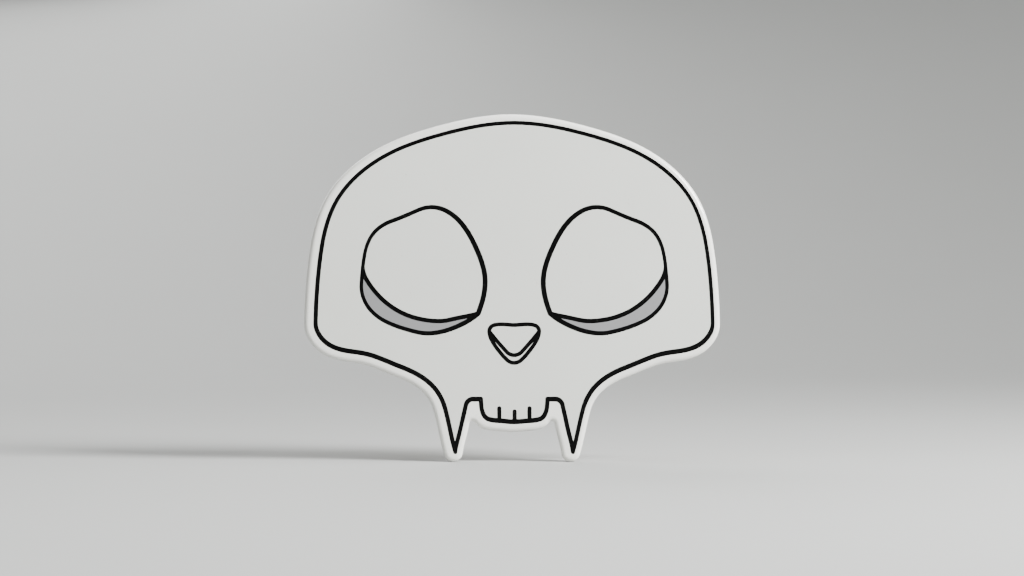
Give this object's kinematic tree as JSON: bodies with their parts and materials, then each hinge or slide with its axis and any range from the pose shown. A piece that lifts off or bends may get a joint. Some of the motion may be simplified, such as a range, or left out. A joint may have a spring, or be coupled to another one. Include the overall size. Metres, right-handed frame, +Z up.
{
  "type": "enamel pin",
  "caption": "Die-struck enamel pin in the shape of a cat's skull seen from the front, with back posts held by butterfly clutches whose wings squeeze open.",
  "frame": {"origin": "middle of the plate's flat back face, halfway across its width and its height", "axes": "+Y runs out of the back, along the posts; the enamelled face looks to -Y; +Z is up, towards the crown; +X is to the right as the face is looked at"},
  "size_m": [0.038, 0.0105, 0.0318],
  "materials": {
    "lacquer_white": "gloss",
    "enamel_white": "gloss",
    "enamel_black": "gloss",
    "enamel_grey": "gloss",
    "post_metal": "satin",
    "solder": "satin",
    "clutch_metal": "satin"
  },
  "bodies": {
    "pin": {"base_plate": "lacquer_white", "face_enamel": "enamel_white", "nose_enamel": "enamel_white", "nose_rim_enamel": "enamel_white", "outline_line": "enamel_black", "tooth_lines": "enamel_black", "nose_line": "enamel_black", "right_eye_enamel": "enamel_white", "right_eye_shadow": "enamel_grey", "right_eye_line": "enamel_black", "right_post": "post_metal", "right_solder": "solder", "left_eye_enamel": "enamel_white", "left_eye_shadow": "enamel_grey", "left_eye_line": "enamel_black", "left_post": "post_metal", "left_solder": "solder"},
    "left_clutch": {"left_clutch_face": "clutch_metal", "left_clutch_cap": "clutch_metal"},
    "left_clutch_left_wing": {"left_clutch_left_wing": "clutch_metal"},
    "left_clutch_right_wing": {"left_clutch_right_wing": "clutch_metal"},
    "right_clutch": {"right_clutch_face": "clutch_metal", "right_clutch_cap": "clutch_metal"},
    "right_clutch_left_wing": {"right_clutch_left_wing": "clutch_metal"},
    "right_clutch_right_wing": {"right_clutch_right_wing": "clutch_metal"}
  },
  "joints": [
    {"name": "left_clutch_slide", "type": "slide", "parent": "pin", "child": "left_clutch", "axis": [0, 1, 0], "range_m": [0, 0.01]},
    {"name": "left_clutch_right_wing_hinge", "type": "hinge", "parent": "left_clutch", "child": "left_clutch_right_wing", "pos_m": [-0.0071, 0.0048, 0.002], "axis": [0, 0, 1], "range_deg": [0, 14], "stiffness_Nm_per_rad": 0.002},
    {"name": "left_clutch_left_wing_hinge", "type": "hinge", "parent": "left_clutch", "child": "left_clutch_left_wing", "pos_m": [-0.0109, 0.0048, 0.002], "axis": [0, 0, -1], "range_deg": [0, 14], "stiffness_Nm_per_rad": 0.002},
    {"name": "right_clutch_slide", "type": "slide", "parent": "pin", "child": "right_clutch", "axis": [0, 1, 0], "range_m": [0, 0.01]},
    {"name": "right_clutch_right_wing_hinge", "type": "hinge", "parent": "right_clutch", "child": "right_clutch_right_wing", "pos_m": [0.0109, 0.0048, 0.002], "axis": [0, 0, 1], "range_deg": [0, 14], "stiffness_Nm_per_rad": 0.002},
    {"name": "right_clutch_left_wing_hinge", "type": "hinge", "parent": "right_clutch", "child": "right_clutch_left_wing", "pos_m": [0.0071, 0.0048, 0.002], "axis": [0, 0, -1], "range_deg": [0, 14], "stiffness_Nm_per_rad": 0.002}
  ],
  "couplings": [
    {"joint": "left_clutch_left_wing_hinge", "follows": "left_clutch_right_wing_hinge", "ratio": 1},
    {"joint": "right_clutch_left_wing_hinge", "follows": "right_clutch_right_wing_hinge", "ratio": 1}
  ]
}
